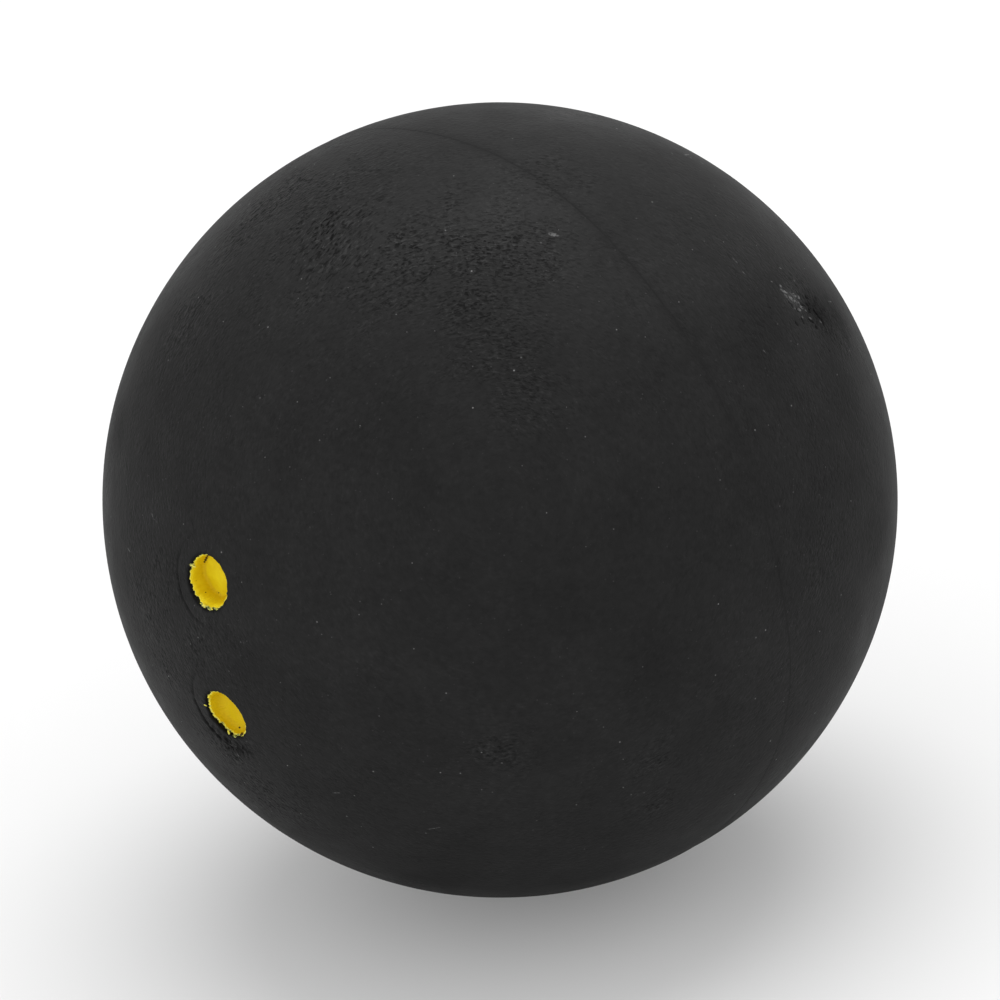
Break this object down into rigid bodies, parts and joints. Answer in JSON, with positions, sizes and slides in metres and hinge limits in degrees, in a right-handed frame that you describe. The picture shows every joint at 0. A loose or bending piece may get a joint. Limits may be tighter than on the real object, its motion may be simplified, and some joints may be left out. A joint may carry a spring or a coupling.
{
  "type": "squash ball",
  "caption": "Hollow matte black rubber ball of glued half shells with a fine seam and small recessed yellow dots, for playing squash.",
  "frame": {"origin": "centre of the ball, on the seam's plane", "axes": "+Y from the front half with the dots towards the plain rear half, square to the seam; +Z from the lower dot towards the upper dot"},
  "size_m": [0.04, 0.04, 0.04],
  "materials": {
    "shell_rubber": "matte",
    "seam_adhesive": "matte",
    "dot_paint": "satin"
  },
  "bodies": {
    "root": {"front_half_shell": "shell_rubber", "rear_half_shell": "shell_rubber", "seam_adhesive": "seam_adhesive", "upper_dot_paint": "dot_paint", "lower_dot_paint": "dot_paint"}
  },
  "joints": []
}
